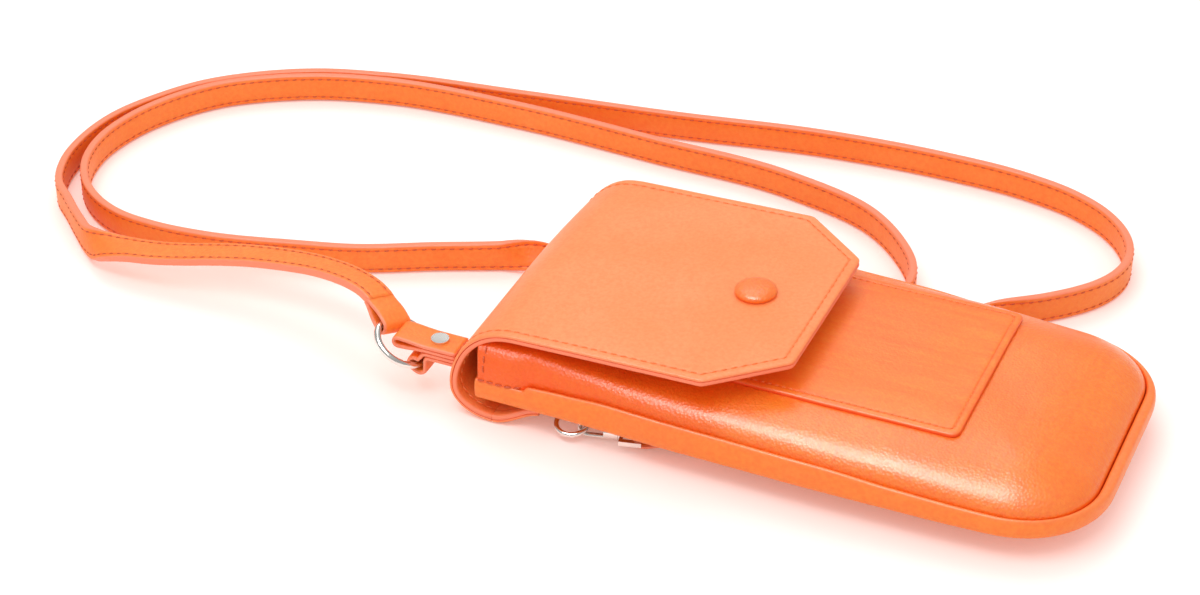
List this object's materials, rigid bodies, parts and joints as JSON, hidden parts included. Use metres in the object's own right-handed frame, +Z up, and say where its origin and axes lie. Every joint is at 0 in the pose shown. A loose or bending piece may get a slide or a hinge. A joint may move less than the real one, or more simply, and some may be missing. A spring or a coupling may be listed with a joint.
{
  "type": "phone pouch",
  "caption": "Slim leather phone pouch with a folded snap flap, a front card pocket and a long flat strap clipped between a ring and a D-ring.",
  "frame": {"origin": "middle of the footprint of the pouch, its fold and its ring, on the surface that the pouch lies on", "axes": "+X from the ring along the pouch to its closed end, +Y to the side where the strap lies, +Z up, out of the front panel"},
  "size_m": [0.3744, 0.1878, 0.0364],
  "materials": {
    "leather": "smooth vegetable-tanned leather with a soft sheen",
    "inner_leather": "matte inner leather",
    "lining": "matte woven cloth",
    "nickel": "polished nickel plate"
  },
  "bodies": {
    "pouch": {"back_shell": "leather", "front_shell": "leather", "back_lining": "lining", "front_lining": "lining", "card_pocket": "leather", "fold_back": "leather", "fold_side": "leather", "snap_stud": "nickel", "snap_eyelet": "nickel", "ring_tab_loop": "leather", "ring_tab_cover": "leather", "tab_rivet": "nickel", "back_tab": "leather", "back_tab_rivet": "nickel", "hook_swivel": "nickel", "strap": "leather", "strap_end_ring": "leather", "strap_end_hook": "leather"},
    "flap": {"flap_leather": "leather", "flap_lining": "inner_leather", "flap_fold": "leather", "button_cap": "leather", "button_post": "nickel", "snap_socket": "nickel"},
    "ring": {"ring": "nickel"},
    "d_ring": {"d_ring": "nickel"},
    "hook": {"hook_body": "nickel", "gate_pin": "nickel"},
    "gate": {"hook_gate": "nickel"}
  },
  "joints": [
    {"name": "flap_hinge", "type": "hinge", "parent": "pouch", "child": "flap", "pos_m": [-0.08221, 0, 0.0213], "axis": [0, -1, 0], "range_deg": [0, 150], "deforming": ["flap_fold"]},
    {"name": "ring_spin", "type": "hinge", "parent": "pouch", "child": "ring", "pos_m": [-0.10381, -0.04, 0.0135], "axis": [0.515, 0, 0.8572], "continuous": true},
    {"name": "d_ring_swing", "type": "hinge", "parent": "pouch", "child": "d_ring", "pos_m": [-0.04571, -0.0395, 0.00495], "axis": [1, 0, 0], "range_deg": [-4, 4]},
    {"name": "hook_turn", "type": "hinge", "parent": "pouch", "child": "hook", "pos_m": [-0.03271, -0.04317, 0.00365], "axis": [0.9744, 0.225, 0], "range_deg": [-12, 12]},
    {"name": "gate_swing", "type": "hinge", "parent": "hook", "child": "gate", "pos_m": [-0.03628, -0.044, 0.006], "axis": [0.225, -0.9744, 0], "range_deg": [0, 20], "stiffness_Nm_per_rad": 0.0002}
  ]
}
